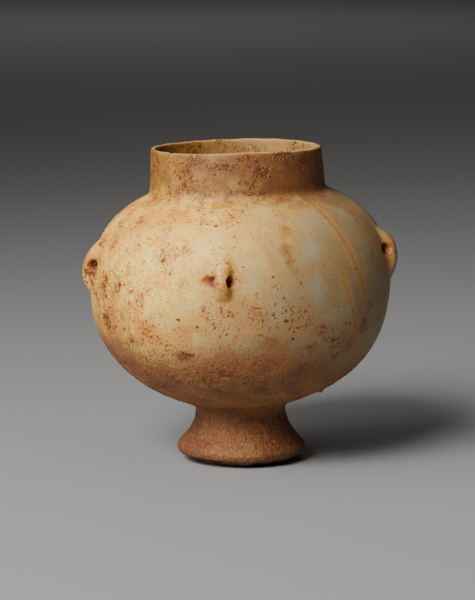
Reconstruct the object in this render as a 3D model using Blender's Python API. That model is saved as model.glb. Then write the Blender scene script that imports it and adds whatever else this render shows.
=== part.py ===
# Hand-carved marble jar: a round body with a collar, on a small flared foot, with
# four string lugs round the shoulder, each pierced by a hole drilled from both sides.
# Metres, +Z up. The origin is the centre of the foot's underside, and the front lug
# faces -Y. Heights are measured up from the ground, or from the form below.

import math

import bmesh
import bpy
from mathutils import Matrix, Vector

# Foot
FOOT_RADIUS = 0.0328        # widest ring, just above the worn lower edge
FOOT_EDGE_HEIGHT = 0.0066   # height of that ring
FOOT_EDGE_INSET = 0.0068    # how far the flat underside lies inside it
FOOT_EDGE_WEAR = 1.23       # 1 is a plain rounding, more cuts the corner flatter
FOOT_HEIGHT = 0.0282        # ground to waist
WAIST_RADIUS = 0.0225
WAIST_FILLET = 0.0030

# Body
BELLY_RADIUS = 0.0759
BELLY_RISE = 0.0619         # waist to the widest ring
SHOULDER_RISE = 0.0467      # widest ring to the foot of the collar
UNDERSIDE_SLOPE = math.radians(24)
SHOULDER_SLOPE = math.radians(19.7)

# Collar
NECK_RADIUS = 0.0440        # where the collar leaves the shoulder
NECK_FILLET = 0.0025
NECK_HEIGHT = 0.0225
RIM_RADIUS = 0.0428
LIP_ROUND = 0.0013          # height of the rounding on the lip

# Hollow
BODY_WALL = 0.0066
NECK_WALL = 0.0048
RIM_WALL = 0.0038
FLOOR_THICKNESS = 0.0105    # above the waist
MOUTH_SHIFT = -0.0010       # the mouth is ground slightly off the collar's centre

# Unevenness of the hand carving: the right side of each ring is high
WAIST_TILT = math.radians(1.2)
BODY_TILT = math.radians(2.4)
RIM_TILT = math.radians(1.7)
LEAN_START = 0.0108         # above the widest ring, the body starts to lean left
OFF_CENTRE = -0.0003        # the body stands this far aside of the foot's centre

# Lugs and their string holes
LUG_WIDTH = 0.0054          # across the crest
LUG_FLANK = 0.0026          # run of each flank down to the wall
BORE_THROAT = 0.0026        # diameter where the two drillings meet
BORE_MOUTH = 0.0045         # diameter where they come out
BORE_REACH = 0.0062         # from where they meet to each mouth
BORE_BACKING = 0.0023       # stone left behind the hole
BORE_SLANT = math.radians(38)

# Each lug: its direction round the body from the front, the heights of its two
# ends, its crest and its hole above the widest ring, how far it stands proud,
# how bluntly it ends (1 is a straight ramp) and how far its hole lies aside.
LUGS = (
    {"name": "front", "turn": -6.5, "low": 0.0001, "crest": 0.0124, "high": 0.0264,
     "hole": 0.0112, "proud": 0.0052, "low_blunt": 2.4, "high_blunt": 1.6, "aside": -0.0016},
    {"name": "left", "turn": -80, "low": -0.0015, "crest": 0.0144, "high": 0.0289,
     "hole": 0.0142, "proud": 0.0057, "low_blunt": 2.5, "high_blunt": 1.9, "aside": 0.0},
    {"name": "right", "turn": 80, "low": -0.0016, "crest": 0.0189, "high": 0.0274,
     "hole": 0.0167, "proud": 0.0055, "low_blunt": 2.1, "high_blunt": 2.8, "aside": 0.0},
    {"name": "back", "turn": 176, "low": 0.0006, "crest": 0.0139, "high": 0.0277,
     "hole": 0.0134, "proud": 0.0052, "low_blunt": 2.2, "high_blunt": 1.8, "aside": 0.0},
)

COLUMNS = 56                # faces round the body
BORE_SIDES = 14
MARBLE_COLOUR = (0.66, 0.55, 0.40, 1.0)
MARBLE_ROUGHNESS = 0.55

WAIST = FOOT_HEIGHT
BELLY = WAIST + BELLY_RISE
COLLAR = BELLY + SHOULDER_RISE
RIM = COLLAR + NECK_HEIGHT


def bezier(points, steps):
    """Points along a quadratic or cubic curve through its end points."""
    order = len(points) - 1
    curve = []
    for step in range(steps + 1):
        t = step / steps
        weights = [math.comb(order, i) * t ** i * (1 - t) ** (order - i) for i in range(order + 1)]
        curve.append((
            sum(w * p[0] for w, p in zip(weights, points)),
            sum(w * p[1] for w, p in zip(weights, points)),
        ))
    return curve


def along(line, distance):
    """The point this far along a line of points, and the points after it."""
    for i in range(len(line) - 1):
        (r0, z0), (r1, z1) = line[i], line[i + 1]
        step = math.hypot(r1 - r0, z1 - z0)
        if step >= distance:
            share = distance / step
            return (r0 + share * (r1 - r0), z0 + share * (z1 - z0)), line[i + 1:]
        distance -= step
    return line[-1], []


def filleted(before, after, size, steps):
    """Two lines of points that share a corner, joined by a rounding of this size."""
    corner = after[0]
    start, kept_before = along(before[::-1], size)
    end, kept_after = along(after, size)
    return kept_before[::-1] + bezier((start, corner, end), steps) + kept_after


def foot_line():
    """From the centre of the underside, round the lower edge and up the flare."""
    flat = FOOT_RADIUS - FOOT_EDGE_INSET
    line = [(0.0, 0.0)]
    steps = 4
    for step in range(steps):
        angle = math.pi / 2 * step / steps
        line.append((
            flat + FOOT_EDGE_INSET * math.sin(angle) ** FOOT_EDGE_WEAR,
            FOOT_EDGE_HEIGHT * (1 - math.cos(angle) ** FOOT_EDGE_WEAR),
        ))
    flare = WAIST - FOOT_EDGE_HEIGHT
    return line + bezier((
        (FOOT_RADIUS, FOOT_EDGE_HEIGHT),
        (FOOT_RADIUS, FOOT_EDGE_HEIGHT + 0.19 * flare),
        (WAIST_RADIUS, WAIST - 0.67 * flare),
        (WAIST_RADIUS, WAIST),
    ), 8)


def shoulder_line(radius, neck, collar, handle, reach, steps):
    """From the widest ring up to the foot of the collar, for the outside or the hollow.

    The handle is how far the curve below leaves the ring straight, and the reach how far
    in its next corner lies. The curve above then bends as tightly at the ring.
    """
    run = 0.9 * (radius - neck)
    turn_in = radius - neck - run * math.cos(SHOULDER_SLOPE)
    return bezier((
        (radius, BELLY),
        (radius, BELLY + handle * math.sqrt(turn_in / reach)),
        (radius - turn_in, collar - run * math.sin(SHOULDER_SLOPE)),
        (neck, collar),
    ), steps)


def outer_line():
    """The whole outside, from the centre of the underside up to the lip."""
    run = 0.226 * (BELLY_RADIUS - WAIST_RADIUS)
    spread = WAIST_RADIUS + run * math.cos(UNDERSIDE_SLOPE)
    handle = 0.782 * BELLY_RISE
    underside = bezier((
        (WAIST_RADIUS, WAIST),
        (spread, WAIST + run * math.sin(UNDERSIDE_SLOPE)),
        (BELLY_RADIUS, BELLY - handle),
        (BELLY_RADIUS, BELLY),
    ), 13)
    reach = BELLY_RADIUS - spread
    shoulder = shoulder_line(BELLY_RADIUS, NECK_RADIUS, COLLAR, handle, reach, 9)
    collar = bezier(((NECK_RADIUS, COLLAR), (RIM_RADIUS, RIM - LIP_ROUND)), 2)
    body = filleted(foot_line(), underside, WAIST_FILLET, 3)
    return filleted(body + shoulder[1:], collar, NECK_FILLET, 3)


def lip_line():
    """Over the lip, from its outside to its inside."""
    half = RIM_WALL / 2
    line = []
    steps = 6
    for step in range(1, steps):
        angle = math.pi * step / steps
        side = math.copysign(abs(math.cos(angle)) ** 0.6, math.cos(angle))
        line.append((
            RIM_RADIUS - half + half * side,
            RIM - LIP_ROUND + LIP_ROUND * math.sin(angle) ** 0.6,
        ))
    return line


def inner_line():
    """The hollow, from the lip down to the centre of its floor."""
    radius = BELLY_RADIUS - BODY_WALL
    neck = NECK_RADIUS - NECK_WALL
    collar = COLLAR + NECK_WALL * math.tan(SHOULDER_SLOPE) - BODY_WALL / math.cos(SHOULDER_SLOPE)
    floor = WAIST + FLOOR_THICKNESS
    flat = 0.68 * radius
    handle = 0.68 * (BELLY - floor)
    throat = bezier(((RIM_RADIUS - RIM_WALL, RIM - LIP_ROUND), (neck, collar)), 2)
    shoulder = shoulder_line(radius, neck, collar, handle, radius - flat, 7)[::-1]
    bowl = bezier((
        (radius, BELLY),
        (radius, BELLY - handle),
        (flat, floor),
        (0.0, floor),
    ), 9)
    return filleted(throat, shoulder, NECK_FILLET, 2) + bowl[1:]


OUTLINE = outer_line()


def outer_radius(height):
    """Radius of the plain outside at a height, before the lugs are added."""
    for (r0, z0), (r1, z1) in zip(OUTLINE[1:], OUTLINE[2:]):
        if z0 <= height <= z1 and z1 > z0:
            return r0 + (r1 - r0) * (height - z0) / (z1 - z0)
    return RIM_RADIUS


def eased(share):
    """0 to 1 with a soft start and end."""
    share = min(max(share, 0.0), 1.0)
    return share * share * (3 - 2 * share)


def carved(point):
    """Where a point of the true turned form lies in the hand-carved one."""
    height = point.z
    depth = (outer_radius(height) - math.hypot(point.x, point.y)) / RIM_WALL
    x = point.x + MOUTH_SHIFT * eased(depth) * eased((height - BELLY) / SHOULDER_RISE)
    body = BODY_TILT * min(height / BELLY, 1.0) ** 2
    waist = WAIST_TILT * eased(1 - abs(height - WAIST) / (WAIST - FOOT_EDGE_HEIGHT))
    rim = (RIM_TILT - BODY_TILT) * eased((height - COLLAR) / NECK_HEIGHT)
    lean = -math.tan(BODY_TILT) * max(height - BELLY - LEAN_START, 0.0)
    aside = OFF_CENTRE * min(height / WAIST, 1.0) + lean
    return Vector((x + aside, point.y, height + math.tan(body + waist + rim) * x))


def new_object(name, bm):
    mesh = bpy.data.meshes.new(name)
    bm.to_mesh(mesh)
    bm.free()
    item = bpy.data.objects.new(name, mesh)
    bpy.context.scene.collection.objects.link(item)
    return item


def spun_body(name):
    """The vessel without its lugs: one outline, turned round the axis and carved uneven."""
    bm = bmesh.new()
    verts = [bm.verts.new((r, 0.0, z)) for r, z in OUTLINE + lip_line() + inner_line()]
    edges = [bm.edges.new(pair) for pair in zip(verts, verts[1:])]
    bmesh.ops.spin(
        bm, geom=verts + edges, cent=(0, 0, 0), axis=(0, 0, 1),
        angle=2 * math.pi, steps=COLUMNS, use_merge=True,
    )
    bmesh.ops.remove_doubles(bm, verts=bm.verts, dist=1e-6)
    bmesh.ops.recalc_face_normals(bm, faces=bm.faces)
    for vert in bm.verts:
        vert.co = carved(vert.co)
    return new_object(name, bm)


def lug_relief(lug, side, height):
    """How far a lug stands off the plain wall, 0 to 1, beside its middle and at a height."""
    crest = BELLY + lug["crest"]
    if height < crest:
        share = (height - BELLY - lug["low"]) / (lug["crest"] - lug["low"])
        blunt = lug["low_blunt"]
    else:
        share = (BELLY + lug["high"] - height) / (lug["high"] - lug["crest"])
        blunt = lug["high_blunt"]
    share = min(max(share, 0.0), 1.0)
    rise = 1 - (1 - share) ** blunt
    crown = 1 - 0.12 * min(abs(side) / (LUG_WIDTH / 2), 1.0) ** 2
    return rise * crown * (1 - eased((abs(side) - LUG_WIDTH / 2) / LUG_FLANK))


def lug_solid(lug):
    """One lug, as a block whose outside follows the relief and whose back is in the wall."""
    bm = bmesh.new()
    bmesh.ops.create_grid(bm, x_segments=10, y_segments=12, size=0.5)
    half = LUG_WIDTH / 2 + LUG_FLANK
    margin = 0.06
    turn = math.radians(lug["turn"])
    sunk = BODY_WALL * 0.2
    root = BODY_WALL * 0.5
    back = bmesh.ops.extrude_face_region(bm, geom=bm.faces[:])
    back_verts = {v for v in back["geom"] if isinstance(v, bmesh.types.BMVert)}
    for vert in bm.verts:
        side = half * (1 + margin) * vert.co.x * 2
        height = BELLY + lug["low"] + (lug["high"] - lug["low"]) * (0.5 + vert.co.y * (1 + margin))
        base = outer_radius(height)
        out = (lug["proud"] + sunk) * lug_relief(lug, side, height) - sunk
        radius = base - root if vert in back_verts else base + out
        angle = turn + side / base
        vert.co = carved(Vector((radius * math.sin(angle), -radius * math.cos(angle), height)))
    bmesh.ops.recalc_face_normals(bm, faces=bm.faces)
    return new_object("lug_" + lug["name"], bm)


def bore_ring(bm, centre, normal, radius, capped):
    """A ring of the drilling, its first corner straight above its centre."""
    up = Vector((0, 0, 1))
    basis = Matrix((up, normal.cross(up), normal)).transposed().to_4x4()
    ring = bmesh.ops.create_circle(
        bm, cap_ends=capped, radius=radius, segments=BORE_SIDES,
        matrix=Matrix.Translation(centre) @ basis,
    )
    corners = set(ring["verts"])
    return [e for e in bm.edges if corners.issuperset(e.verts)]


def string_hole(lug):
    """Two slanting drillings that meet in the middle of a lug, as one shape to cut away."""
    turn = math.radians(lug["turn"])
    height = BELLY + lug["hole"]
    radius = outer_radius(height) - BODY_WALL + BORE_BACKING + BORE_THROAT / 2
    outward = Vector((math.sin(turn), -math.cos(turn), 0.0))
    across = Vector((math.cos(turn), math.sin(turn), 0.0))
    middle = outward * radius + across * lug["aside"] + Vector((0, 0, height))
    length = BORE_REACH + BORE_MOUTH
    wide = BORE_THROAT / 2 + (BORE_MOUTH - BORE_THROAT) / 2 * length / BORE_REACH
    bm = bmesh.new()
    rings = []
    for side in (-1, 0, 1):
        normal = across * math.cos(BORE_SLANT * side) + outward * math.sin(BORE_SLANT * side)
        centre = carved(middle) + normal * length * side
        rings.append(bore_ring(bm, centre, normal, wide if side else BORE_THROAT / 2, side != 0))
    bmesh.ops.bridge_loops(bm, edges=rings[0] + rings[1])
    bmesh.ops.bridge_loops(bm, edges=rings[1] + rings[2])
    bmesh.ops.recalc_face_normals(bm, faces=bm.faces)
    return new_object("hole_" + lug["name"], bm)


def helper(item, group):
    """Keeps a shape only as a tool for the vessel, in a collection of its own."""
    item.hide_render = True
    item.display_type = "WIRE"
    bpy.context.scene.collection.objects.unlink(item)
    group.objects.link(item)


def new_group(name):
    group = bpy.data.collections.new(name)
    bpy.context.scene.collection.children.link(group)
    return group


def combine(item, name, operation, group):
    step = item.modifiers.new(name, "BOOLEAN")
    step.operand_type = "COLLECTION"
    step.collection = group
    step.operation = operation
    step.solver = "EXACT"


def marble(item):
    material = bpy.data.materials.new("marble")
    material.use_nodes = True
    shader = material.node_tree.nodes["Principled BSDF"]
    shader.inputs["Base Color"].default_value = MARBLE_COLOUR
    shader.inputs["Roughness"].default_value = MARBLE_ROUGHNESS
    shader.inputs["Metallic"].default_value = 0.0
    item.data.materials.append(material)


def build():
    for item in list(bpy.data.objects):
        bpy.data.objects.remove(item, do_unlink=True)
    vase = spun_body("vase")
    marble(vase)
    vase.data.shade_smooth()
    lugs = new_group("lugs")
    holes = new_group("string holes")
    for lug in LUGS:
        helper(lug_solid(lug), lugs)
        helper(string_hole(lug), holes)
    combine(vase, "add lugs", "UNION", lugs)
    combine(vase, "drill string holes", "DIFFERENCE", holes)


build()
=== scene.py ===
# Marble collared jar on a foot, with four pierced string lugs: the worn and stained
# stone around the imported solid, on a pale floor. Metres, +Z up, the front lug faces -Y.
import math

import bpy
import numpy as np
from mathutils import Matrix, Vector
from mathutils.bvhtree import BVHTree


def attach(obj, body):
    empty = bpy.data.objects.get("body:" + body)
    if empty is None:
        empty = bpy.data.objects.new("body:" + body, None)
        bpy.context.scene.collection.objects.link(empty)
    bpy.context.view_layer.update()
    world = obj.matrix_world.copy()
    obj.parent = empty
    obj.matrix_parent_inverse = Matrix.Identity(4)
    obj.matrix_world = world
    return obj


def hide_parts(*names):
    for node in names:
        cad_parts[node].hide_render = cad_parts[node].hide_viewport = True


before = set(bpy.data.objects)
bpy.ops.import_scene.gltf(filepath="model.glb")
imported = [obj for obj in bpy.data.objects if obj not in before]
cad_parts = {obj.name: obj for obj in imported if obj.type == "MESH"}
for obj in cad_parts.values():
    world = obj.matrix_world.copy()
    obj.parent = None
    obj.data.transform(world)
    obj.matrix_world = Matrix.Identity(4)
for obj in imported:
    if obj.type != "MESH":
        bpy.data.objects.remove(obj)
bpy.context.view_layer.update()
mm = 0.001
print("frame loaded")


def selectOnly(item):
    bpy.ops.object.select_all(action="DESELECT")
    item.select_set(True)
    bpy.context.view_layer.objects.active = item


def applyModifier(item, kind, **settings):
    step = item.modifiers.new(kind.lower(), kind)
    for name, value in settings.items():
        setattr(step, name, value)
    selectOnly(item)
    bpy.ops.object.modifier_apply(modifier=step.name)


def readPoints(item):  # every vertex and its normal, in millimetres
    mesh = item.data
    points = np.empty(len(mesh.vertices) * 3)
    normals = np.empty(len(mesh.vertices) * 3)
    mesh.vertices.foreach_get("co", points)
    mesh.vertices.foreach_get("normal", normals)
    return points.reshape(-1, 3) / mm, normals.reshape(-1, 3)


def writePoints(item, points):
    item.data.vertices.foreach_set("co", (points * mm).ravel())
    item.data.update()


def smoothStep(low, high, value):
    share = np.clip((value - low) / (high - low), 0, 1)
    return share * share * (3 - 2 * share)


# The vase's form: the solid's own shape, rounded off and worn
vaseForm = {
    "voxel": 0.65,  # mm, of the fine skin that takes the wear
    "rounding": 7,  # smoothing steps over the carved edges
    "triangles": 190000,
    "floorHeight": 37.0,  # mm, below this there is no hollow
    "bodyMiddle": 85.0,  # mm, the hollow's walls face this height on the axis
    "wallBlend": 6,  # mm, the outside's weight fades out over this on both sides of the lip
    "undersideHeights": (1, 5),  # mm, relief starts between these, so the underside stays flat
    "sameWithin": 0.01,  # mm, points this near are one
    "flatTurn": 15,  # degrees, two triangles that turn less are one face
    "faceSkew": 60,  # degrees
    "handCarving": (34, 0.5),  # size and depth of each relief, in mm
    "weathering": (6, 0.2),
    "soilCrust": (2.2, 0.9),
    "crustLower": (70, 46),  # heights between which the crust grows to full, on the lower body
    "crustCollar": (136, 144),  # and on the collar
    "collarShare": 0.2,
}


def copyOfNode(node, name):  # the node's loose triangles, merged into one skin
    piece = bpy.data.objects.new(name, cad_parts[node].data.copy())
    bpy.context.scene.collection.objects.link(piece)
    piece.data.materials.clear()
    selectOnly(piece)
    bpy.ops.object.mode_set(mode="EDIT")
    bpy.ops.mesh.select_all(action="SELECT")
    bpy.ops.mesh.remove_doubles(threshold=vaseForm["sameWithin"] * mm)
    turn, skew = math.radians(vaseForm["flatTurn"]), math.radians(vaseForm["faceSkew"])
    bpy.ops.mesh.tris_convert_to_quads(face_threshold=turn, shape_threshold=skew)
    bpy.ops.object.mode_set(mode="OBJECT")
    return piece


def facesOut(points, normals):  # 1 on the outside and the lip, 0 in the hollow
    middle = np.array([0, 0, vaseForm["bodyMiddle"]])
    away = ((points - middle) * normals).sum(axis=1)
    blend = vaseForm["wallBlend"]
    return np.where(points[:, 2] < vaseForm["floorHeight"], 1.0, smoothStep(-blend, blend, away))


def addWeights(item, name, weights):  # in even steps, each added in one go
    group = item.vertex_groups.new(name=name)
    steps = 16
    levels = np.round(weights * steps).astype(int)
    for level in range(1, steps + 1):
        group.add(np.flatnonzero(levels == level).tolist(), level / steps, "REPLACE")


def addRelief(item, name, group, **settings):
    size, depth = vaseForm[name]
    pattern = bpy.data.textures.new(name, "CLOUDS")
    pattern.noise_scale = size * mm
    for key, value in settings.items():
        setattr(pattern, key, value)
    applyModifier(item, "DISPLACE", texture=pattern, texture_coords="LOCAL", strength=depth * mm,
                  mid_level=0.5, vertex_group=group)


# Where the stone is worn or drilled, in mm, each turn in degrees from the front to the right
vaseWear = {
    "stringHoles": (  # turn of the lug, then the middle of its hole
        (-6.5, (-10.2, -71.4, 100.9)), (-80, (-70.9, -12.4, 101.3)), (80, (68.9, -12.3, 109.7)),
        (176, (4.4, 71.4, 103.7)),
    ),
    "drillSlant": 38,  # degrees between a drilling and the shoulder
    "mouthReach": 7.7,  # from a hole's middle to the ball that widens its mouth
    "mouthRadius": 3.4,
    "footChips": (  # turn, radius of the chip
        (-36, 3.6), (-27, 2.8), (-50, 2.4), (-8, 2.2), (16, 2.5), (41, 3.0), (66, 2.4), (-78, 2.6),
        (-104, 3.2), (-140, 2.4), (170, 3.0), (131, 2.6), (98, 3.4),
    ),
    "footEdge": (31.3, 0.2),  # distance from the axis and height of the balls that chip the foot
    "rimChips": (  # place, radius of the chip
        ((-35.2, -29.4, 159.2), 2.4), ((-42.8, -8.0, 160.6), 1.8), ((12.0, -42.2, 161.2), 1.7),
        ((36.5, -19.6, 161.6), 1.9), ((-12.0, 41.0, 161.8), 2.4), ((27.0, 33.0, 162.4), 2.6),
    ),
    "waves": ((0.5, 3, 0.6), (0.3, 7, 2), (0.3, 17, 0)),  # size, how many round the edge, start
    "lipHeights": (150, 157),  # the lip's waves grow between these
    "rimWave": 0.2,
    "rightLipDrop": 0.8,
    "rightLip": (5, 38),  # from the middle to the right, where the lip drops
    "footLift": 3.4,  # the foot's edge stands about this clear of the ground at most
    "footWave": 0.4,  # the share of that lift that the waves change
    "footEdgeRadii": (23, 27.5),  # the lift grows outwards between these
    "footEdgeTop": 5,
    "nub": (40.3, -18.0, 37.6),  # a grain of crust that sticks out low on the right
    "nubHeight": 1.6,
    "nubRadii": (2.2, 0.4),
}


def scoop(points, place, radius):  # take out the shallow dish that a ball there would press
    away = points - np.array(place)
    distance = np.linalg.norm(away, axis=1)
    inside = distance < radius
    points[inside] += away[inside] * (radius / distance[inside] - 1)[:, None]


def holeMouths(reach):  # points on each hole's two drillings, this far from its middle
    slant = math.radians(vaseWear["drillSlant"])
    mouths = []
    for degrees, middle in vaseWear["stringHoles"]:
        turn = math.radians(degrees)
        outward = np.array([math.sin(turn), -math.cos(turn), 0])
        across = np.array([math.cos(turn), math.sin(turn), 0])
        for side in (-1, 1):
            mouths.append(middle + (across * math.cos(slant) * side + outward * math.sin(slant)) * reach)
    return mouths


def wearStone(item):
    points, normals = readPoints(item)
    for mouth in holeMouths(vaseWear["mouthReach"]):
        scoop(points, mouth, vaseWear["mouthRadius"])
    away, height = vaseWear["footEdge"]
    for degrees, radius in vaseWear["footChips"]:
        turn = math.radians(degrees)
        scoop(points, (away * math.sin(turn), -away * math.cos(turn), height), radius)
    for place, radius in vaseWear["rimChips"]:
        scoop(points, place, radius)

    # Uneven waves round the lip and the foot, as a hand grinds them
    turn = np.arctan2(points[:, 0], -points[:, 1])
    waves = sum(size * np.sin(count * turn + start) for size, count, start in vaseWear["waves"])
    lip = smoothStep(*vaseWear["lipHeights"], points[:, 2])
    drop = vaseWear["rightLipDrop"] * smoothStep(*vaseWear["rightLip"], points[:, 0])
    points[:, 2] += lip * (vaseWear["rimWave"] * waves - drop)
    outer = smoothStep(*vaseWear["footEdgeRadii"], np.hypot(points[:, 0], points[:, 1]))
    edge = outer * smoothStep(vaseWear["footEdgeTop"], 0, points[:, 2])
    wave = vaseWear["footWave"]
    points[:, 2] += vaseWear["footLift"] * edge * (1 - wave - wave * waves)

    near = np.linalg.norm(points - np.array(vaseWear["nub"]), axis=1)
    rise = vaseWear["nubHeight"] * smoothStep(*vaseWear["nubRadii"], near)
    points += normals * rise[:, None]
    writePoints(item, points)


vase = copyOfNode("vase", "marble_jar")
applyModifier(vase, "SUBSURF", levels=2, render_levels=2)
applyModifier(vase, "REMESH", mode="VOXEL", voxel_size=vaseForm["voxel"] * mm)
wearStone(vase)
applyModifier(vase, "SMOOTH", factor=0.5, iterations=vaseForm["rounding"])
points, normals = readPoints(vase)
outside = facesOut(points, normals) * smoothStep(*vaseForm["undersideHeights"], points[:, 2])
addWeights(vase, "outside", outside)
addRelief(vase, "handCarving", "outside")
addRelief(vase, "weathering", "outside", noise_depth=3)
crusted = smoothStep(*vaseForm["crustLower"], points[:, 2])
onCollar = smoothStep(*vaseForm["crustCollar"], points[:, 2])
addWeights(vase, "crusted", outside * np.maximum(crusted, vaseForm["collarShare"] * onCollar))
addRelief(vase, "soilCrust", "crusted", noise_depth=2, noise_type="HARD_NOISE")
triangles = sum(len(face.vertices) - 2 for face in vase.data.polygons)
applyModifier(vase, "DECIMATE", ratio=vaseForm["triangles"] / triangles)
points, normals = readPoints(vase)
points[:, 2] = np.maximum(points[:, 2], 0)
writePoints(vase, points)
selectOnly(vase)
bpy.ops.object.shade_smooth()
vase.vertex_groups.clear()
print("vase formed:", len(vase.data.polygons), "faces")


def linear(hexColour):  # sRGB hex to the shader's linear values
    channels = [int(hexColour[i:i + 2], 16) / 255 for i in (1, 3, 5)]
    return [c / 12.92 if c <= 0.04045 else ((c + 0.055) / 1.055) ** 2.4 for c in channels] + [1]


def addNode(tree, kind, links=None, **settings):
    node = tree.nodes.new("ShaderNode" + kind)
    for name, value in settings.items():
        setattr(node, name, value)
    for name, value in (links or {}).items():
        if isinstance(value, bpy.types.Node):
            value = value.outputs[0]
        if isinstance(value, bpy.types.NodeSocket):
            tree.links.new(value, node.inputs[name])
        else:
            node.inputs[name].default_value = value
    return node


def newMaterial(name, colour):
    material = bpy.data.materials.new(name)
    material.use_nodes = True
    material.diffuse_color = linear(colour)
    return material, material.node_tree.nodes["Principled BSDF"]


cameraSet = {
    "place": (-0.001848, -1.350, 0.280437),  # m, from the outline's perspective
    "tiltDown": 8.4,  # degrees below level
    "lens": 162,  # mm
    "filmSide": 36,  # mm
    "farthest": 60,  # m
    "imageWidth": 475,  # the photograph's frame
    "imageHeight": 600,
}
lens = bpy.data.cameras.new("camera")
lens.lens = cameraSet["lens"]
lens.sensor_width = cameraSet["filmSide"]
lens.clip_end = cameraSet["farthest"]
camera = bpy.data.objects.new("camera", lens)
camera.location = cameraSet["place"]
camera.rotation_euler = (math.radians(90 - cameraSet["tiltDown"]), 0, 0)
bpy.context.scene.collection.objects.link(camera)
bpy.context.scene.camera = camera
bpy.context.view_layer.update()

skin = BVHTree.FromObject(vase, bpy.context.evaluated_depsgraph_get())


def onVase(pixelX, pixelY):  # where the photo's pixel lies on the vase, in mm
    longSide = cameraSet["imageHeight"]
    focus = cameraSet["lens"] / cameraSet["filmSide"] * longSide
    ray = Vector((pixelX - cameraSet["imageWidth"] / 2, longSide / 2 - pixelY, -focus)).normalized()
    ray.rotate(camera.matrix_world.to_quaternion())
    hit = skin.ray_cast(camera.location, ray)[0]
    if hit is None:  # the look goes through a string hole: take the stone beside it
        hit = skin.find_nearest(camera.location + ray * camera.location.length)[0]
    return hit / mm


# Weathered marble: fine-grained white stone, hand-rubbed, then stained by iron and soil
# while buried. To the eye it is warm honey and ivory with a soft sheen, peppered with rust.
stoneTones = {
    "honey": "#EAA339",
    "ivory": "#F9C754",
    "cream": "#FADA72",
    # greyer stone: a stain above the soil, and painted shade on the lower right
    "greyStoneAndShade": "#837254",
    # cool grey stone, on the right also painted shade
    "smokeAndShade": "#968D73",
    "amber": "#CF923F",
    "orange": "#BF7423",
    "speck": "#964609",
    "rust": "#662A07",
    "crust": "#3C1C0C",
    "vein": "#9E662E",
    "umber": "#7C4B26",
    "umberLight": "#AE753B",
    "umberRed": "#834822",
    "film": "#8A5A23",
    # the film's darker copy for its right side: partly stain, partly painted shade
    "filmInShade": "#66391D",
    # the inside of the mouth, shaded and lit copies: painted shade on the left, painted light on the right
    "innerShadeBrown": "#8A632F",
    "litGold": "#E4B868",
    # the foot's soil, darkened as painted shade under the body; the paler one also tints worn soil on the
    # body
    "footOchreInShade": "#683B1A",
    "footPaleInShade": "#724B28",
    "hole": "#783A17",
}
tone = {name: linear(colour) for name, colour in stoneTones.items()}

# Marks seen in the photo, each with its pixel there, half width and half height in mm, and
# strength: pits of rust, then soft iron stains, then brown ones
rustSpots = [
    (137, 236, 0.7, 0.7, 1.0), (139, 245, 0.9, 1.4, 0.8), (127, 248, 0.7, 0.7, 0.9),
    (144, 262, 0.5, 1.6, 0.9), (122, 271, 0.6, 0.7, 0.9), (175, 260, 0.5, 0.9, 1.0),
    (216, 226, 1.3, 1.0, 0.9), (234, 237, 0.7, 0.7, 0.9), (201, 217, 0.6, 0.8, 0.8),
    (170, 230, 0.8, 0.7, 0.7), (178, 320, 1.3, 1.0, 1.0), (197, 327, 0.9, 1.1, 1.0),
    (222, 312, 0.9, 0.8, 1.0), (230, 312, 1.0, 0.7, 1.0), (232, 317, 0.6, 1.0, 1.0),
    (142, 306, 0.6, 1.5, 0.8), (129, 303, 0.8, 1.2, 0.7), (124, 329, 1.5, 1.6, 0.7),
    (133, 341, 1.6, 0.9, 0.7), (143, 340, 1.3, 0.8, 0.7), (184, 248, 1.0, 0.8, 0.7),
    (284, 298, 0.9, 0.7, 0.9), (275, 304, 0.6, 1.1, 0.9), (286, 311, 0.6, 0.8, 1.0),
    (301, 310, 0.6, 0.8, 0.9), (286, 321, 1.4, 1.2, 1.0), (262, 327, 0.5, 0.9, 0.8),
    (260, 335, 1.2, 0.5, 0.9), (294, 332, 0.9, 0.8, 0.9), (293, 339, 1.0, 0.9, 1.0),
    (324, 326, 1.5, 0.9, 0.9), (330, 326, 0.8, 0.7, 0.8), (306, 326, 0.9, 0.8, 0.7),
    (313, 324, 0.8, 0.8, 0.7), (310, 347, 1.6, 0.7, 0.9), (346, 324, 0.8, 1.0, 0.8),
    (350, 323, 1.0, 0.9, 0.8), (364, 320, 1.3, 1.6, 0.7), (366, 328, 1.1, 1.0, 0.7),
    (361, 332, 1.2, 1.2, 0.6), (273, 277, 0.9, 0.9, 0.9), (301, 283, 0.5, 1.3, 1.0),
    (243, 267, 0.8, 0.6, 1.0), (231, 192, 0.8, 1.6, 0.9), (205, 180, 0.8, 0.8, 0.9),
    (252, 194, 1.0, 1.2, 0.7), (182, 163, 1.6, 0.8, 0.7), (172, 153, 1.8, 0.8, 1.0),
    (357, 221, 1.0, 0.9, 0.6), (182, 355, 1.8, 0.9, 0.7), (326, 340, 1.2, 0.8, 0.7),
    (333, 339, 1.3, 0.7, 0.6), (220, 337, 0.9, 0.6, 0.8), (226, 335, 0.9, 0.6, 0.8),
    # (204, 280) darkens the front lug's left drilling: partly rust, partly painted shade of the bore
    (302, 298, 0.6, 0.8, 0.7), (224, 305, 0.6, 0.5, 0.9), (204, 280, 1.6, 1.4, 0.7),
    (290, 256, 0.8, 1.2, 0.7), (288, 229, 0.8, 0.8, 0.7), (113, 246, 0.9, 0.9, 0.8),
    (111, 240, 0.8, 0.8, 0.7), (131, 233, 0.7, 0.7, 0.7), (117, 236, 0.7, 0.7, 0.7),
]
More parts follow.
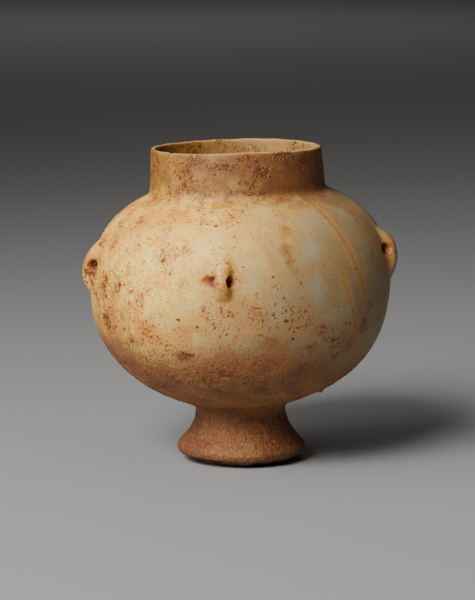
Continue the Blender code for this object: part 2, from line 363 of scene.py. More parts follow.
orangeStains = [
    (92, 272, 4.0, 9.0, 0.9), (113, 244, 6.0, 7.0, 0.8), (141, 222, 6.0, 6.5, 0.8),
    (161, 222, 5.5, 5.0, 0.8), (175, 214, 8.0, 2.4, 0.6), (104, 288, 7.0, 13.0, 0.7),
    (118, 286, 4.6, 8.0, 0.6), (164, 257, 6.4, 5.6, 0.5), (184, 249, 5.0, 4.6, 0.5),
    (160, 163, 5.0, 6.0, 0.5), (154, 175, 5.0, 12.0, 0.5), (206, 281, 5.6, 4.6, 0.7),
    (228, 286, 5.0, 6.4, 0.8), (389, 256, 3.6, 11.0, 1.0), (232, 300, 3.0, 8.0, 0.5),
    (286, 229, 5.0, 4.6, 0.5), (342, 217, 4.0, 3.6, 0.35), (108, 325, 9.0, 13.0, 0.8),
    (356, 207, 9.0, 5.0, 0.35), (205, 311, 3.0, 4.4, 0.5), (192, 197, 12.0, 3.0, 0.3),
    (234, 237, 4.6, 4.4, 0.35), (209, 264, 2.8, 5.0, 0.5), (215, 212, 8.0, 3.4, 0.25),
    (128, 205, 8.0, 5.0, 0.5), (150, 203, 8.0, 4.0, 0.6), (121, 225, 5.0, 6.4, 0.6),
    (128, 268, 3.4, 8.0, 0.5), (190, 330, 12.0, 4.6, 0.4), (146, 330, 10.0, 7.0, 0.6),
    (250, 198, 10.0, 2.4, 0.2), (318, 200, 5.0, 2.4, 0.25), (142, 300, 4.0, 8.0, 0.45),
    (120, 345, 8.0, 8.0, 0.7), (168, 272, 7.0, 3.0, 0.3), (300, 330, 9.0, 4.0, 0.3),
    (102, 245, 3.0, 5.0, 0.6), (280, 210, 6.0, 5.0, 0.4), (98, 306, 6.0, 16.0, 0.8),
    (250, 330, 12.0, 7.0, 0.35),
]
umberStains = [
    (286, 250, 4.4, 6.0, 0.6), (290, 262, 4.0, 5.0, 0.7), (296, 271, 3.4, 3.4, 0.5),
    (286, 232, 4.0, 6.0, 0.4), (373, 258, 2.2, 6.0, 0.6), (364, 325, 6.4, 8.0, 0.6),
    (272, 343, 7.0, 5.6, 0.7), (282, 156, 9.0, 3.4, 1.0), (262, 172, 7.6, 3.6, 1.0),
    (302, 168, 9.0, 8.0, 0.7), (280, 182, 7.0, 3.4, 0.6), (206, 462, 6.0, 2.4, 0.9),
    (310, 347, 9.0, 4.0, 0.6), (349, 345, 5.0, 9.0, 0.7), (240, 160, 16.0, 2.2, 0.6),
    (190, 157, 14.0, 1.8, 0.6), (320, 330, 8.0, 5.0, 0.5), (228, 168, 12.0, 3.4, 0.6),
    (310, 158, 8.0, 3.0, 0.8), (186, 354, 6.0, 3.6, 0.6), (134, 340, 8.0, 5.0, 0.5),
]
# Clear cream stone where the skin is clean, with painted highlights on the left of the body and on the
# front lug's nose
creamAndHighlightPatches = [
    (150, 262, 9.0, 10.0, 0.9), (158, 300, 9.0, 10.0, 0.9), (192, 300, 8.0, 10.0, 0.8),
    (214, 240, 8.0, 7.0, 0.7), (218, 272, 1.6, 4.0, 1.0), (178, 232, 8.0, 5.0, 0.6),
    (250, 225, 8.0, 6.0, 0.5), (198, 340, 7.0, 6.0, 0.6), (148, 212, 3.0, 2.4, 0.5),
    (262, 262, 5.0, 9.0, 0.5), (118, 262, 3.0, 3.0, 0.5), (214, 338, 4.0, 5.0, 0.5),
]
# Cool grey stone under the skin; on the right these patches are also painted shade
smokeAndShadePatches = [
    (312, 250, 9.0, 9.0, 0.9), (318, 290, 8.0, 12.0, 0.8), (345, 215, 7.0, 6.0, 0.9),
    (354, 262, 5.0, 12.0, 0.7), (268, 240, 5.0, 12.0, 0.5), (284, 300, 6.0, 9.0, 0.5),
    (330, 318, 8.0, 6.0, 0.6), (372, 290, 4.0, 12.0, 0.5), (176, 182, 6.0, 7.0, 0.6),
    (200, 176, 7.0, 4.0, 0.5), (232, 182, 6.0, 4.0, 0.5),
]
# Crackled crust, on the collar, the lower body and the foot
crustPatches = [
    (220, 167, 14.0, 4.4, 1.0), (196, 161, 9.0, 3.4, 0.8), (232, 368, 19.0, 10.0, 1.0),
    (184, 356, 8.0, 4.4, 0.8), (250, 380, 13.0, 7.0, 0.8), (263, 172, 9.0, 4.4, 1.0),
    (282, 157, 10.0, 4.0, 1.0), (258, 366, 10.0, 8.0, 0.9), (240, 440, 26.0, 16.0, 0.7),
    (305, 164, 8.0, 5.0, 0.7),
]
# Gaps in the soil stain where paler stone shows
soilGaps = [
    (274, 386, 4.4, 4.0, 0.55), (252, 398, 5.0, 2.4, 0.35), (176, 366, 4.0, 3.4, 0.3),
]
# How high the soil stain reaches round the body: turn from the front in degrees, height in mm
soilLine = [
    (-180, 62), (-140, 66), (-105, 68), (-74, 70), (-55, 68), (-41, 62), (-28, 63), (-13, 67), (-6, 70),
    (4, 67), (12, 71), (24, 66), (34, 62), (48, 57), (68, 55), (100, 59), (140, 65), (180, 62),
]
# How sharp each kind of mark is: the share of its width that keeps its full strength
markCore = {
    "rust": 0.55,
    "orange": 0.1,
    "umber": 0.2,
    "cream": 0.2,
    "smokeAndShade": 0.1,
    "crust": 0.3,
    "gap": 0.1,
    "grime": 0.6,
}
# Dark grime in the string holes and the iron stain round them, each as a ball on every
# drilling: how far along it, radius
holeGrime = (5.2, 3.6)
holeHalo = (7.0, 9.0)
holeHaloStrength = 0.9

# The veins are flat sheets across this direction; each has its distance from the origin,
# half its thickness, the heights where it starts to show and shows fully, and strength
veinDirection = (0.752, 0.547, 0.368)
veins = ((54.0, 1.8, 84, 96, 0.7), (43.0, 1.6, 106, 98, 0.55))
veinGlow = 5  # mm from a vein that its warm edge reaches

# Size of each pattern in the stone, in mm
patternSize = {
    "fray": 4.5,
    "nudge": 1.1,
    "clouds": 19,
    "mottle": 6,
    "grain": 1.3,  # real marble grains are about 0.5, too fine to show
    "drips": 3.2,
    "soil": 10,
    "flocks": 15,
    "specks": 1.0,  # real ones go down to 0.3, too fine to show
    "pits": 2.4,
    "plates": 1.6,
    "grit": 0.8,
}
# What each noise, height or place has to be for none and for all of a tone to show
spans = {
    "honeyShare": {"From Min": 0.43, "From Max": 0.57},
    "creamShare": {"From Min": 0.5, "From Max": 0.62, "To Max": 0.7},
    "amberShare": {"From Min": 0.48, "From Max": 0.38, "To Max": 0.55},
    "grainShare": {"From Min": 0.5, "From Max": 0.75, "To Max": 0.4},
    "greyAndShade": {"From Min": -98, "From Max": -32, "To Max": 0.9},  # mm towards the lower right
    "smokeCloudAndShade": {"From Min": 0.5, "From Max": 0.62, "To Max": 0.5},
    "dripShare": {"From Min": 0.5, "From Max": 0.68},
    "dripArea": {"From Min": 0, "From Max": -70, "To Min": 0.1, "To Max": 0.8},  # mm to the right
    "broken": {"From Min": 0.34, "From Max": 0.5, "To Min": 0.45},
    "collar": {"From Min": 137, "From Max": 148, "To Max": 0.94},  # mm up
    "filmShadeToRight": {"From Min": -34, "From Max": 14},  # mm to the right
    "filmThin": {"From Min": 0.36, "From Max": 0.56, "To Min": 0.84},
    "within": {"From Min": 40, "From Max": 37.5},  # mm from the mouth's middle
    "aboveFloor": {"From Min": 110, "From Max": 135, "To Max": 0.7},  # mm up
    "innerLightSide": {"From Min": -25, "From Max": 22},  # mm to the right
    "facingUp": {"From Min": 0.5, "From Max": 0.9},
    "lipHeight": {"From Min": 152, "From Max": 154, "To Max": 0.65},  # mm up
    "thinSoil": {"From Min": 36, "From Max": 8, "To Max": 0.25},  # mm above the soil's line
    "soil": {"From Min": 14, "From Max": -3, "To Max": 0.96},  # and the same
    "soilShare": {"From Min": 0.36, "From Max": 0.66},
    "soilGrain": {"From Min": 0.54, "From Max": 0.68, "To Max": 0.7},
    "soilWorn": {"From Min": 0.45, "From Max": 0.34, "To Max": 0.6},
    "redder": {"From Min": -16, "From Max": 8, "To Max": 0.55},  # mm above the soil's line
    "foot": {"From Min": 27, "From Max": 23},  # mm up
    "footShare": {"From Min": 0.46, "From Max": 0.56},
    "grooveShade": {"From Min": 5, "From Max": 1, "To Max": 0.5},  # mm from the groove
    "paintedContactShadow": {"From Min": 6.4, "From Max": 4.2, "To Max": 0.85},  # mm up
    "seams": {"From Min": 0.16, "From Max": 0.02},  # of a plate's width, from its edge
    "crustDepth": {"To Min": 0.55, "To Max": 0.8},
    "seamDepth": {"To Min": 0.3, "To Max": 0.55},
    "nearSoil": {"From Min": 40, "From Max": 4, "To Max": 0.05},  # mm above the soil's line
    "onLeft": {"From Min": 0, "From Max": -55, "To Max": 0.05},  # mm to the right
    "halo": {"From Min": 0.66, "From Max": 0.78, "To Max": 0.5},
    "specks": {"From Min": 0.75, "From Max": 0.79, "To Max": 0.9},
    "speckTone": {"From Min": 0.42, "From Max": 0.58},
    "pits": {"From Min": 0.81, "From Max": 0.85, "To Max": 0.9},
    "dull": {"From Min": 0.3, "From Max": 0.7, "To Min": 0.5, "To Max": 0.66},
    "rough": {"To Min": 0.1, "To Max": 0.45},
    "plateLevel": {"From Max": 0.3, "To Max": 0.3},
}
# What moves an edge, in mm, or changes another value, and by how much
bends = {
    "fray": 9,  # stains are pushed about this far
    "nudge": 1.8,  # and pits
    "drips": 0.2,  # drips are five times as long as they are wide
    "greyShadeUp": -0.6,  # a mm up counts as this many to the right
    "film": 14,  # the mottling moves the film's lower edge
    "smokeShadeFilm": -0.4,  # the film is thinner over the grey stone and its painted shade
    "mouthLeft": 3.5,  # the mouth's middle lies this far left of the axis
    "soil": 26,  # the mottling moves the soil's edge
    "soilGrain": 14,  # and so does the grain
    "paintedContactShadow": 4,  # the mottling moves the top of the painted contact shadow under the foot
    "veinCore": 0.2,  # the vein has its full strength this far from its middle
    "veinGlow": 0.5,  # as a share of the vein's strength
    "flock": 0.6,  # specks follow the flocks this much
    "flockLess": -0.2,
    "dirtHalo": -0.35,  # specks have no orange halo in the dirt
    "soilDull": 0.1,
    "pitsDull": 0.2,
    "crustGlint": -0.22,
    "pitDepth": -0.25,  # mm
}
grooveHeight = 28  # mm, under the body
soilCurveHeight = 100  # mm, the soil line's curve runs from 0 to this
crowding = {  # how much more or fewer specks there are in each kind of place
    "collar": 0.07,
    "orange": 0.08,
    "umber": 0.1,
    "crust": 0.05,
    "soil": -0.05,
    "foot": 0.02,
    "cleanAndHighlit": -0.03,
}


def addOval(tree, place, middle, halfWidth, halfHeight, strength, core, others=None):
    shape = Vector((1 / halfWidth, 1 / halfWidth, 1 / halfHeight))
    offset = addNode(tree, "VectorMath", {
        0: place, 1: shape, 2: Vector(middle) * -shape,
    }, operation="MULTIPLY_ADD")
    reach = addNode(tree, "VectorMath", {0: offset}, operation="LENGTH")
    mark = addNode(tree, "MapRange", {
        "Value": reach.outputs["Value"], "From Min": 1.0, "From Max": core, "To Max": strength,
    }, interpolation_type="SMOOTHSTEP")
    return addNode(tree, "Math", {0: others, 1: mark}, operation="MAXIMUM") if others else mark


def addMarks(tree, place, marks, core):  # the strongest of the soft ovals, 0 to 1
    total = None
    for pixelX, pixelY, halfWidth, halfHeight, strength in marks:
        total = addOval(tree, place, onVase(pixelX, pixelY), halfWidth, halfHeight, strength, core, total)
    return total


def pushAbout(tree, place, name, detail, roughness):  # the place, moved by a noise
    noise = addNode(tree, "TexNoise", {
        "Vector": place, "Scale": 1 / patternSize[name], "Detail": detail, "Roughness": roughness,
    })
    push = addNode(tree, "VectorMath", {0: noise.outputs["Color"], 1: [0.5] * 3}, operation="SUBTRACT")
    return addNode(tree, "VectorMath", {0: push, 1: [bends[name]] * 3, 2: place}, operation="MULTIPLY_ADD")


def makeMarble():
    material, shader = newMaterial("weathered marble", stoneTones["ivory"])
    tree = material.node_tree
    coords = addNode(tree, "TexCoord")
    place = addNode(tree, "VectorMath", {0: coords.outputs["Object"], "Scale": 1 / mm}, operation="SCALE")
    axes = addNode(tree, "SeparateXYZ", {0: place})
    x, y, height = axes.outputs
    backward = addNode(tree, "Math", {0: y, 1: -1}, operation="MULTIPLY")
    turn = addNode(tree, "Math", {0: x, 1: backward}, operation="ARCTAN2")

    # Places pushed about, widely for stains and a little for pits, so that no mark is clean
    frayed = pushAbout(tree, place, "fray", detail=5, roughness=0.65)
    nudged = pushAbout(tree, place, "nudge", detail=2, roughness=0.6)

    # Clouds in the stone: honey, ivory and cream, then darker and greyer towards the lower right as
    # painted shade, partly a grey stain
    clouds = addNode(tree, "TexNoise", {
        "Vector": frayed, "Scale": 1 / patternSize["clouds"], "Detail": 5, "Roughness": 0.62,
    })
    mottle = addNode(tree, "TexNoise", {
        "Vector": frayed, "Scale": 1 / patternSize["mottle"], "Detail": 6, "Roughness": 0.7,
    })
    grain = addNode(tree, "TexNoise", {
        "Vector": place, "Scale": 1 / patternSize["grain"], "Detail": 3, "Roughness": 0.65,
    })
    honeyShare = addNode(tree, "MapRange", {"Value": mottle, **spans["honeyShare"]})
    stone = addNode(tree, "MixRGB", {"Fac": honeyShare, "Color1": tone["ivory"], "Color2": tone["honey"]})
    creamShare = addNode(tree, "MapRange", {"Value": clouds, **spans["creamShare"]})
    # Cream raised further by the patches: clean stone, and painted highlights
    cleanAndHighlit = addMarks(tree, frayed, creamAndHighlightPatches, markCore["cream"])
    creamShare = addNode(tree, "Math", {0: creamShare, 1: cleanAndHighlit}, operation="MAXIMUM")
    stone = addNode(tree, "MixRGB", {"Fac": creamShare, "Color1": stone, "Color2": tone["cream"]})
    amberShare = addNode(tree, "MapRange", {"Value": clouds, **spans["amberShare"]})
    stone = addNode(tree, "MixRGB", {"Fac": amberShare, "Color1": stone, "Color2": tone["amber"]})
    grainShare = addNode(tree, "MapRange", {"Value": grain, **spans["grainShare"]})
    stone = addNode(tree, "MixRGB", {"Fac": grainShare, "Color1": stone, "Color2": tone["amber"]})
    # Painted shade: the lower right, away from the key light, turns darker and greyer; partly a grey stain
    greyShadePlace = addNode(tree, "Math", {0: height, 1: bends["greyShadeUp"], 2: x}, operation="MULTIPLY_ADD")
    greyAndShade = addNode(tree, "MapRange", {"Value": greyShadePlace, **spans["greyAndShade"]})
    stone = addNode(tree, "MixRGB", {"Fac": greyAndShade, "Color1": stone, "Color2": tone["greyStoneAndShade"]})
    # Grey clouds where the painted shade lies, and grey patches: partly grey stone, partly painted shade
    smokeCloudAndShade = addNode(tree, "MapRange", {"Value": clouds, **spans["smokeCloudAndShade"]})
    smokeCloudAndShade = addNode(tree, "Math", {0: smokeCloudAndShade, 1: greyAndShade}, operation="MULTIPLY")
    smokeAndShade = addMarks(tree, frayed, smokeAndShadePatches, markCore["smokeAndShade"])
    smokeAndShade = addNode(tree, "Math", {0: smokeAndShade, 1: smokeCloudAndShade}, operation="MAXIMUM")
    stone = addNode(tree, "MixRGB", {"Fac": smokeAndShade, "Color1": stone, "Color2": tone["smokeAndShade"]})

    # Iron has run down the left side in thin drips
    dripPlace = addNode(tree, "VectorMath", {0: nudged, 1: (1, 1, bends["drips"])}, operation="MULTIPLY")
    drips = addNode(tree, "TexNoise", {
        "Vector": dripPlace, "Scale": 1 / patternSize["drips"], "Detail": 5, "Roughness": 0.7,
    })
    dripShare = addNode(tree, "MapRange", {"Value": drips, **spans["dripShare"]})
    dripArea = addNode(tree, "MapRange", {"Value": x, **spans["dripArea"]})
    dripShare = addNode(tree, "Math", {0: dripShare, 1: dripArea}, operation="MULTIPLY")
    stone = addNode(tree, "MixRGB", {"Fac": dripShare, "Color1": stone, "Color2": tone["amber"]})

    # Two parallel veins, which are thin sheets right through the block
    across = addNode(tree, "VectorMath", {0: nudged, 1: veinDirection}, operation="DOT_PRODUCT")
    for depth, halfWidth, low, high, strength in veins:
        offset = addNode(tree, "Math", {0: across.outputs["Value"], 1: depth}, operation="SUBTRACT")
        offset = addNode(tree, "Math", {0: offset}, operation="ABSOLUTE")
        shown = addNode(tree, "MapRange", {"Value": height, "From Min": low, "From Max": high})
        glow = addNode(tree, "MapRange", {
            "Value": offset, "From Min": veinGlow, "From Max": 0, "To Max": bends["veinGlow"] * strength,
        }, interpolation_type="SMOOTHSTEP")
        glow = addNode(tree, "Math", {0: glow, 1: shown}, operation="MULTIPLY")
        stone = addNode(tree, "MixRGB", {"Fac": glow, "Color1": stone, "Color2": tone["amber"]})
        vein = addNode(tree, "MapRange", {
            "Value": offset, "From Min": halfWidth, "From Max": bends["veinCore"], "To Max": strength,
        }, interpolation_type="SMOOTHSTEP")
        vein = addNode(tree, "Math", {0: vein, 1: shown}, operation="MULTIPLY")
        stone = addNode(tree, "MixRGB", {"Fac": vein, "Color1": stone, "Color2": tone["vein"]})

    # Stains seen in the photo, broken up by the mottling
    broken = addNode(tree, "MapRange", {"Value": mottle, **spans["broken"]})
    orange = addMarks(tree, frayed, orangeStains, markCore["orange"])
    reach, radius = holeHalo
    for mouth in holeMouths(reach):
        orange = addOval(tree, frayed, mouth, radius, radius, holeHaloStrength, markCore["orange"], orange)
    orange = addNode(tree, "Math", {0: orange, 1: broken}, operation="MULTIPLY")
    stone = addNode(tree, "MixRGB", {"Fac": orange, "Color1": stone, "Color2": tone["orange"]})

    # A brown film on the collar, thinner towards the shoulder, and darker towards the right: partly brown
    # stain, partly painted shade
    filmHeight = addNode(tree, "Math", {0: mottle, 1: bends["film"], 2: height}, operation="MULTIPLY_ADD")
    collar = addNode(tree, "MapRange", {
        "Value": filmHeight, **spans["collar"],
    }, interpolation_type="SMOOTHSTEP")
    filmShadeToRight = addNode(tree, "MapRange", {"Value": x, **spans["filmShadeToRight"]})
    filmWithShade = addNode(tree, "MixRGB", {
        "Fac": filmShadeToRight, "Color1": tone["film"], "Color2": tone["filmInShade"],
    })
    filmThin = addNode(tree, "MapRange", {"Value": mottle, **spans["filmThin"]})
    film = addNode(tree, "Math", {0: collar, 1: filmThin}, operation="MULTIPLY")
    film = addNode(tree, "Math", {
        0: smokeAndShade, 1: bends["smokeShadeFilm"], 2: film,
    }, operation="MULTIPLY_ADD", use_clamp=True)
    stone = addNode(tree, "MixRGB", {"Fac": film, "Color1": stone, "Color2": filmWithShade})
    # Inside the mouth: painted shade on the left and painted light on the right, where the key light falls
    # in
    lipPlace = addNode(tree, "VectorMath", {
        0: place, 1: (1, 1, 0), 2: (bends["mouthLeft"], 0, 0),
    }, operation="MULTIPLY_ADD")
    lipReach = addNode(tree, "VectorMath", {0: lipPlace}, operation="LENGTH")
    within = addNode(tree, "MapRange", {"Value": lipReach.outputs["Value"], **spans["within"]})
    aboveFloor = addNode(tree, "MapRange", {"Value": height, **spans["aboveFloor"]})
    within = addNode(tree, "Math", {0: within, 1: aboveFloor}, operation="MULTIPLY")
    innerLightSide = addNode(tree, "MapRange", {"Value": x, **spans["innerLightSide"]})
    innerLitAndShaded = addNode(tree, "MixRGB", {
        "Fac": innerLightSide, "Color1": tone["innerShadeBrown"], "Color2": tone["litGold"],
    })
    stone = addNode(tree, "MixRGB", {"Fac": within, "Color1": stone, "Color2": innerLitAndShaded})

    # The lip's up-facing top, paler: partly rubbed by use, partly a painted highlight
    surface = addNode(tree, "NewGeometry")
    facing = addNode(tree, "SeparateXYZ", {0: surface.outputs["Normal"]})
    facingUp = addNode(tree, "MapRange", {"Value": facing.outputs["Z"], **spans["facingUp"]})
    lipHeight = addNode(tree, "MapRange", {"Value": height, **spans["lipHeight"]})
    lipWornAndHighlit = addNode(tree, "Math", {0: facingUp, 1: lipHeight}, operation="MULTIPLY")
    lipWornAndHighlit = addNode(tree, "Math", {0: lipWornAndHighlit, 1: broken}, operation="MULTIPLY")
    stone = addNode(tree, "MixRGB", {"Fac": lipWornAndHighlit, "Color1": stone, "Color2": tone["litGold"]})

    # The soil stain on the lower body, patchy along its upper edge
    turnShare = addNode(tree, "MapRange", {"Value": turn, "From Min": -math.pi, "From Max": math.pi})
    line = addNode(tree, "FloatCurve", {"Value": turnShare})
    curve = line.mapping.curves[0]
    while len(curve.points) < len(soilLine):
        curve.points.new(0.5, 0.5)
    for point, (degrees, top) in zip(curve.points, soilLine):
        point.location = ((degrees + 180) / 360, top / soilCurveHeight)
    line.mapping.update()
    above = addNode(tree, "Math", {0: line, 1: -soilCurveHeight, 2: height}, operation="MULTIPLY_ADD")
    thinSoil = addNode(tree, "MapRange", {"Value": above, **spans["thinSoil"]})
    stone = addNode(tree, "MixRGB", {"Fac": thinSoil, "Color1": stone, "Color2": tone["greyStoneAndShade"]})
    wander = addNode(tree, "Math", {
        0: mottle, 1: bends["soil"], 2: -bends["soil"] / 2,
    }, operation="MULTIPLY_ADD")
    wander = addNode(tree, "Math", {0: grain, 1: bends["soilGrain"], 2: wander}, operation="MULTIPLY_ADD")
    edge = addNode(tree, "Math", {0: above, 1: wander}, operation="ADD")
    soil = addNode(tree, "MapRange", {"Value": edge, **spans["soil"]}, interpolation_type="SMOOTHSTEP")
    gaps = addMarks(tree, frayed, soilGaps, markCore["gap"])
    soil = addNode(tree, "Math", {0: soil, 1: gaps}, operation="SUBTRACT", use_clamp=True)
    soilTone = addNode(tree, "TexNoise", {
        "Vector": frayed, "Scale": 1 / patternSize["soil"], "Detail": 6, "Roughness": 0.7,
    })
    soilShare = addNode(tree, "MapRange", {"Value": soilTone, **spans["soilShare"]})
    soilColour = addNode(tree, "MixRGB", {
        "Fac": soilShare, "Color1": tone["umber"], "Color2": tone["umberLight"],
    })
    soilGrain = addNode(tree, "MapRange", {"Value": grain, **spans["soilGrain"]})
    soilColour = addNode(tree, "MixRGB", {
        "Fac": soilGrain, "Color1": soilColour, "Color2": tone["crust"],
    })
    soilWorn = addNode(tree, "MapRange", {"Value": grain, **spans["soilWorn"]})
    soilColour = addNode(tree, "MixRGB", {
        "Fac": soilWorn, "Color1": soilColour, "Color2": tone["footPaleInShade"],
    })
    redder = addNode(tree, "MapRange", {"Value": edge, **spans["redder"]})
    soilColour = addNode(tree, "MixRGB", {
        "Fac": redder, "Color1": soilColour, "Color2": tone["umberRed"],
    })
    stone = addNode(tree, "MixRGB", {"Fac": soil, "Color1": stone, "Color2": soilColour})

    # The foot: ochre soil with paler worn patches, its tones darkened as painted shade under the body;
    # dark in the groove under the body
    foot = addNode(tree, "MapRange", {"Value": height, **spans["foot"]}, interpolation_type="SMOOTHSTEP")
    footShare = addNode(tree, "MapRange", {"Value": soilTone, **spans["footShare"]})
    footColourInShade = addNode(tree, "MixRGB", {
        "Fac": footShare, "Color1": tone["footOchreInShade"], "Color2": tone["footPaleInShade"],
    })
    footColourInShade = addNode(tree, "MixRGB", {
        "Fac": soilGrain, "Color1": footColourInShade, "Color2": tone["crust"],
    })
    footColourInShade = addNode(tree, "MixRGB", {
        "Fac": soilWorn, "Color1": footColourInShade, "Color2": tone["umberLight"],
    })
    stone = addNode(tree, "MixRGB", {"Fac": foot, "Color1": stone, "Color2": footColourInShade})
    # Painted shade in the crease of the groove under the body
    grooveOffset = addNode(tree, "Math", {0: height, 1: grooveHeight}, operation="SUBTRACT")
    grooveOffset = addNode(tree, "Math", {0: grooveOffset}, operation="ABSOLUTE")
    grooveShade = addNode(tree, "MapRange", {
        "Value": grooveOffset, **spans["grooveShade"],
    }, interpolation_type="SMOOTHSTEP")
    stone = addNode(tree, "MixRGB", {"Fac": grooveShade, "Color1": stone, "Color2": tone["umber"]})

    # Painted contact shadow: the foot's lowest edge darkened where it nears the ground
    paintedContactShadow = addNode(tree, "Math", {0: mottle, 1: bends["paintedContactShadow"], 2: height}, operation="MULTIPLY_ADD")
    paintedContactShadow = addNode(tree, "MapRange", {
        "Value": paintedContactShadow, **spans["paintedContactShadow"],
    }, interpolation_type="SMOOTHSTEP")
    stone = addNode(tree, "MixRGB", {"Fac": paintedContactShadow, "Color1": stone, "Color2": tone["crust"]})

    umber = addMarks(tree, frayed, umberStains, markCore["umber"])
    umber = addNode(tree, "Math", {0: umber, 1: broken}, operation="MULTIPLY")
    stone = addNode(tree, "MixRGB", {"Fac": umber, "Color1": stone, "Color2": tone["umber"]})

    # Crackled crust: small red-brown plates with pale seams
    crust = addMarks(tree, frayed, crustPatches, markCore["crust"])
    plates = addNode(tree, "TexVoronoi", {
        "Vector": nudged, "Scale": 1 / patternSize["plates"],
    }, feature="DISTANCE_TO_EDGE")
    seams = addNode(tree, "MapRange", {"Value": plates.outputs["Distance"], **spans["seams"]})
    seamShare = addNode(tree, "Math", {0: seams, 1: crust}, operation="MULTIPLY")
    crustDepth = addNode(tree, "MapRange", {"Value": collar, **spans["crustDepth"]})
    crustShare = addNode(tree, "Math", {0: crust, 1: crustDepth}, operation="MULTIPLY")
    crustColour = addNode(tree, "MixRGB", {
        "Fac": collar, "Color1": tone["umberRed"], "Color2": tone["crust"],
    })
    stone = addNode(tree, "MixRGB", {"Fac": crustShare, "Color1": stone, "Color2": crustColour})
    seamDepth = addNode(tree, "MapRange", {"Value": collar, **spans["seamDepth"]})
    seamPale = addNode(tree, "Math", {0: seamShare, 1: seamDepth}, operation="MULTIPLY")
    stone = addNode(tree, "MixRGB", {"Fac": seamPale, "Color1": stone, "Color2": tone["amber"]})

    # Specks of rust in flocks, thickest near the soil, on the collar and down the left side
    flock = addNode(tree, "TexNoise", {
        "Vector": place, "Scale": 1 / patternSize["flocks"], "Detail": 4, "Roughness": 0.65,
    })
    nearSoil = addNode(tree, "MapRange", {"Value": above, **spans["nearSoil"]})
    onLeft = addNode(tree, "MapRange", {"Value": x, **spans["onLeft"]})
    crowd = addNode(tree, "Math", {
        0: flock, 1: bends["flock"], 2: bends["flockLess"],
    }, operation="MULTIPLY_ADD")
    crowd = addNode(tree, "Math", {0: crowd, 1: nearSoil}, operation="ADD")
    crowd = addNode(tree, "Math", {0: crowd, 1: onLeft}, operation="ADD")
    places = {
        "collar": collar, "orange": orange, "umber": umber, "crust": crust, "soil": soil,
        "foot": foot, "cleanAndHighlit": cleanAndHighlit,
    }
    for name, more in crowding.items():
        crowd = addNode(tree, "Math", {0: places[name], 1: more, 2: crowd}, operation="MULTIPLY_ADD")
    fine = addNode(tree, "TexNoise", {
        "Vector": nudged, "Scale": 1 / patternSize["specks"], "Detail": 2, "Roughness": 0.6,
    })
    fine = addNode(tree, "Math", {0: fine, 1: crowd}, operation="ADD")
    halo = addNode(tree, "MapRange", {"Value": fine, **spans["halo"]})
    dirty = addNode(tree, "Math", {0: soil, 1: foot}, operation="MAXIMUM")
    dirty = addNode(tree, "Math", {0: dirty, 1: collar}, operation="MAXIMUM")
    halo = addNode(tree, "Math", {
        0: dirty, 1: bends["dirtHalo"], 2: halo,
    }, operation="MULTIPLY_ADD", use_clamp=True)
    stone = addNode(tree, "MixRGB", {"Fac": halo, "Color1": stone, "Color2": tone["orange"]})
    specks = addNode(tree, "MapRange", {"Value": fine, **spans["specks"]})
    speckTone = addNode(tree, "MapRange", {"Value": soilTone, **spans["speckTone"]})
    speckTone = addNode(tree, "Math", {0: speckTone, 1: dirty}, operation="MAXIMUM")
    speckColour = addNode(tree, "MixRGB", {
        "Fac": speckTone, "Color1": tone["speck"], "Color2": tone["rust"],
    })
    stone = addNode(tree, "MixRGB", {"Fac": specks, "Color1": stone, "Color2": speckColour})
    pitNoise = addNode(tree, "TexNoise", {
        "Vector": nudged, "Scale": 1 / patternSize["pits"], "Detail": 3, "Roughness": 0.65,
    })
    pitNoise = addNode(tree, "Math", {0: pitNoise, 1: crowd}, operation="ADD")
    pits = addNode(tree, "MapRange", {"Value": pitNoise, **spans["pits"]})
    spots = addMarks(tree, nudged, rustSpots, markCore["rust"])
    rusted = addNode(tree, "Math", {0: pits, 1: spots}, operation="MAXIMUM")
    stone = addNode(tree, "MixRGB", {"Fac": rusted, "Color1": stone, "Color2": tone["rust"]})
    grime = None
    reach, radius = holeGrime
    for mouth in holeMouths(reach):
        grime = addOval(tree, nudged, mouth, radius, radius, 1.0, markCore["grime"], grime)
    stone = addNode(tree, "MixRGB", {"Fac": grime, "Color1": stone, "Color2": tone["hole"]})
    tree.links.new(stone.outputs[0], shader.inputs["Base Color"])

    # Sheen: soft on rubbed stone, dull in soil and pits, glinting on the crust
    dull = addNode(tree, "MapRange", {"Value": mottle, **spans["dull"]})
    dull = addNode(tree, "Math", {0: soil, 1: bends["soilDull"], 2: dull}, operation="MULTIPLY_ADD")
    dull = addNode(tree, "Math", {0: pits, 1: bends["pitsDull"], 2: dull}, operation="MULTIPLY_ADD")
    dull = addNode(tree, "Math", {0: crust, 1: bends["crustGlint"], 2: dull}, operation="MULTIPLY_ADD")
    tree.links.new(dull.outputs[0], shader.inputs["Roughness"])

    # Relief too fine for the mesh: grain, pits and the crust's plates
    grit = addNode(tree, "TexNoise", {
        "Vector": place, "Scale": 1 / patternSize["grit"], "Detail": 3, "Roughness": 0.6,
    })
    rough = addNode(tree, "MapRange", {"Value": soil, **spans["rough"]})
    level = addNode(tree, "Math", {0: grit, 1: rough}, operation="MULTIPLY")
    level = addNode(tree, "Math", {0: pits, 1: bends["pitDepth"], 2: level}, operation="MULTIPLY_ADD")
    plateLevel = addNode(tree, "MapRange", {"Value": plates.outputs["Distance"], **spans["plateLevel"]})
    plateLevel = addNode(tree, "Math", {0: plateLevel, 1: crust}, operation="MULTIPLY")
    level = addNode(tree, "Math", {0: level, 1: plateLevel}, operation="ADD")
    bump = addNode(tree, "Bump", {"Height": level, "Strength": 1.0, "Distance": 1 * mm})
    tree.links.new(bump.outputs[0], shader.inputs["Normal"])

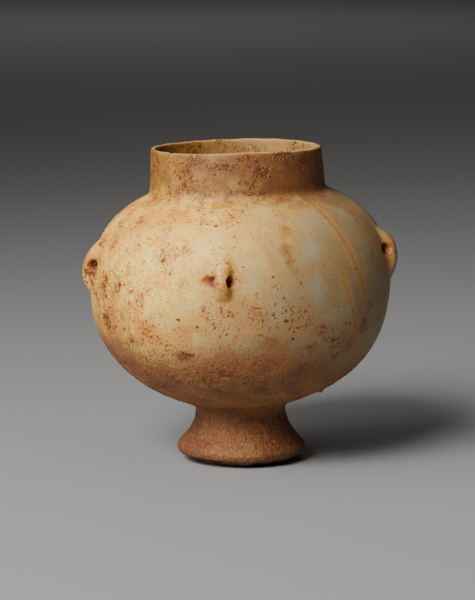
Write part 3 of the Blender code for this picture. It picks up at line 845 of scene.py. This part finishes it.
    shader.inputs["IOR"].default_value = 1.5
    shader.inputs["Subsurface Weight"].default_value = 0.12
    shader.inputs["Subsurface Radius"].default_value = (2.2, 1.5, 1.0)
    shader.inputs["Subsurface Scale"].default_value = 1 * mm
    return material


marble = makeMarble()
vase.data.materials.append(marble)
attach(vase, "root")
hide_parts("vase")
print("vase finished")

# The stage: a pale floor, soft studio light and the photograph's camera
stageSet = {
    "floorHalf": 9.0,  # m
    "floorColour": "#8F8F90",
    "floorRoughness": 0.8,
    "worldColour": "#FFFCF7",
    "worldStrength": 0.05,
    "lampColour": "#FFFDFA",
}
# Each lamp's place, target and width in m, power in W, spread in degrees. The key light's
# narrow spread makes the pool on the floor that fades towards the back.
lampSet = {
    "key light": ((-0.890, -1.490, 1.351), (-0.10, -0.32, 0.08), 1.0, 10.4, 58),
    "side light": ((-1.310, -0.535, 1.020), (-0.06, -0.10, 0.08), 1.2, 4.4, 100),
    "top light": ((0.10, 0.40, 1.90), (0.10, 0.35, 0), 1.6, 2.8, 180),
    "back light": ((-0.3, 4.9, 2.4), (-0.3, 4.9, 0), 1.0, 12.0, 180),
}
bpy.ops.mesh.primitive_plane_add(size=2 * stageSet["floorHalf"], location=(0, 0, 0))
floor = bpy.context.active_object
floor.name = "floor"
paper, shader = newMaterial("matt paper floor", stageSet["floorColour"])
shader.inputs["Base Color"].default_value = linear(stageSet["floorColour"])
shader.inputs["Roughness"].default_value = stageSet["floorRoughness"]
floor.data.materials.append(paper)

world = bpy.data.worlds.new("studio")
world.use_nodes = True
sky = world.node_tree.nodes["Background"]
sky.inputs["Color"].default_value = linear(stageSet["worldColour"])
sky.inputs["Strength"].default_value = stageSet["worldStrength"]
bpy.context.scene.world = world


def addLamp(name, place, target, size, power, spread):
    lamp = bpy.data.lights.new(name, "AREA")
    lamp.size = size
    lamp.energy = power
    lamp.spread = math.radians(spread)
    lamp.color = linear(stageSet["lampColour"])[:3]
    holder = bpy.data.objects.new(name, lamp)
    holder.location = place
    holder.rotation_euler = (Vector(target) - Vector(place)).to_track_quat("-Z", "Y").to_euler()
    bpy.context.scene.collection.objects.link(holder)


for name, settings in lampSet.items():
    addLamp(name, *settings)
print("stage set")
